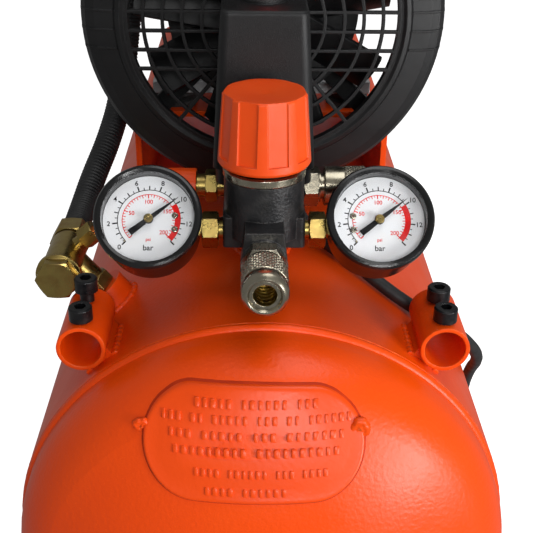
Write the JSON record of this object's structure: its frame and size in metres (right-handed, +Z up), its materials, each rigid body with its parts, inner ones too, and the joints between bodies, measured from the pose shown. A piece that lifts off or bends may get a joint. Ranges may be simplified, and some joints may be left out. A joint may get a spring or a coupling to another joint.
{
  "type": "portable air compressor",
  "caption": "Portable direct-drive piston air compressor: horizontal tank on wheels with regulator, dial gauges, pressure switch, quick couplers, finned pump, motor, fan guard and mains cord.",
  "frame": {"origin": "on the floor, under the middle of the tank, without the mains cord", "axes": "+Z up, tank along Y with its regulator end towards -Y, +X to the right of someone who faces that end"},
  "size_m": [0.352, 0.8642, 0.654],
  "materials": {
    "orange_paint": "semi-gloss powder coat",
    "black_steel": "black oxide",
    "rubber": "matt",
    "black_rubber": "satin",
    "steel": "zinc plated",
    "black_plastic": "satin",
    "tyre": "matt",
    "brass": "machined",
    "copper": "drawn tube",
    "aluminium": "die cast",
    "cast_iron": "cast",
    "laminations": "laminated",
    "dark_metal": "satin",
    "orange_plastic": "satin",
    "red_plastic": "gloss",
    "nickel": "nickel plated",
    "black_gloss": "gloss",
    "white_paint": "satin",
    "lens": "clear"
  },
  "bodies": {
    "tank": {"tank_shell": "orange_paint", "tank_heads": "orange_paint", "tank_sockets": "orange_paint", "data_plate": "orange_paint", "cap_screws": "black_steel", "front_foot": "orange_paint", "rubber_feet": "rubber", "axle_bracket": "orange_paint", "wheel_axle": "steel", "drain_valve": "brass", "pump_platform": "orange_paint", "isolator_pads": "rubber", "crankcase": "aluminium", "shaft_bearings": "steel", "cylinder": "cast_iron", "valve_plate": "steel", "cylinder_head": "aluminium", "air_filter": "black_plastic", "motor_housing": "aluminium", "motor_end_cover": "aluminium", "stator": "laminations", "fan_shroud": "black_plastic", "fan_grille": "black_plastic", "capacitor_box": "black_plastic", "discharge_hose": "black_rubber", "check_valve": "brass", "unloader_tube": "copper", "brass_fittings": "brass", "switch_base": "dark_metal", "switch_cover": "black_plastic", "safety_valve": "brass", "regulator_body": "dark_metal", "regulator_ring_nut": "nickel", "gauge_cases": "black_gloss", "gauge_dials": "white_paint", "gauge_lenses": "lens", "coupler_bodies": "nickel", "motor_cable": "black_rubber", "cord_gland": "black_plastic", "power_cord": "black_rubber", "power_cord_coil": "black_rubber", "power_plug": "black_rubber"},
    "drive": {"crankshaft": "steel", "rotor": "laminations", "cooling_fan": "black_plastic"},
    "piston": {"piston": "aluminium"},
    "connecting_rod": {"connecting_rod": "aluminium"},
    "needle_left": {"gauge_needle_left": "black_steel"},
    "needle_right": {"gauge_needle_right": "black_steel"},
    "regulator_spindle": {"regulator_spindle": "steel"},
    "regulator_knob": {"regulator_knob": "orange_plastic"},
    "switch_knob": {"switch_knob": "red_plastic"},
    "front_sleeve": {"coupler_front_sleeve": "nickel"},
    "side_sleeve": {"coupler_side_sleeve": "nickel"},
    "safety_ring": {"safety_valve_ring": "nickel"},
    "drain_knob": {"drain_knob": "brass"},
    "left_wheel": {"wheel_left_rim": "black_plastic", "wheel_left_tyre": "tyre"},
    "right_wheel": {"wheel_right_rim": "black_plastic", "wheel_right_tyre": "tyre"}
  },
  "joints": [
    {"name": "drive_spin", "type": "hinge", "parent": "tank", "child": "drive", "pos_m": [0, -0.125, 0.5065], "axis": [0, 1, 0], "continuous": true},
    {"name": "piston_stroke", "type": "slide", "parent": "tank", "child": "piston", "axis": [0, 0, 1], "range_m": [-0.04, 0]},
    {"name": "rod_swing", "type": "hinge", "parent": "piston", "child": "connecting_rod", "pos_m": [0, -0.125, 0.6015], "axis": [0, 1, 0], "range_deg": [-15.5, 15.5]},
    {"name": "needle_left_turn", "type": "hinge", "parent": "tank", "child": "needle_left", "pos_m": [-0.061, -0.314, 0.4175], "axis": [0, -0.7431, 0.6691], "range_deg": [-83, 187], "stiffness_Nm_per_rad": 0.0005},
    {"name": "needle_right_turn", "type": "hinge", "parent": "tank", "child": "needle_right", "pos_m": [0.061, -0.314, 0.4175], "axis": [0, -0.7431, 0.6691], "range_deg": [-83, 187], "stiffness_Nm_per_rad": 0.0005},
    {"name": "regulator_turn", "type": "hinge", "parent": "tank", "child": "regulator_spindle", "pos_m": [0, -0.314, 0.4575], "axis": [0, 0, 1], "range_deg": [-720, 720]},
    {"name": "regulator_pull", "type": "slide", "parent": "regulator_spindle", "child": "regulator_knob", "axis": [0, 0, 1], "range_m": [0, 0.003]},
    {"name": "switch_push", "type": "slide", "parent": "tank", "child": "switch_knob", "axis": [0, 0, 1], "range_m": [-0.004, 0]},
    {"name": "front_sleeve_slide", "type": "slide", "parent": "tank", "child": "front_sleeve", "axis": [0, 1, 0], "range_m": [0, 0.0018], "stiffness_N_per_m": 1000, "springref_m": -0.002},
    {"name": "side_sleeve_slide", "type": "slide", "parent": "tank", "child": "side_sleeve", "axis": [-1, 0, 0], "range_m": [0, 0.0018], "stiffness_N_per_m": 1000, "springref_m": -0.002},
    {"name": "safety_ring_pull", "type": "slide", "parent": "tank", "child": "safety_ring", "axis": [-1, 0, 0], "range_m": [0, 0.003], "stiffness_N_per_m": 1000, "springref_m": -0.002},
    {"name": "drain_turn", "type": "hinge", "parent": "tank", "child": "drain_knob", "pos_m": [0, -0.06, 0.066], "axis": [0, 0, 1], "range_deg": [0, 360]},
    {"name": "left_wheel_spin", "type": "hinge", "parent": "tank", "child": "left_wheel", "pos_m": [-0.149, 0.27, 0.08], "axis": [1, 0, 0], "continuous": true},
    {"name": "right_wheel_spin", "type": "hinge", "parent": "tank", "child": "right_wheel", "pos_m": [0.149, 0.27, 0.08], "axis": [1, 0, 0], "continuous": true}
  ]
}
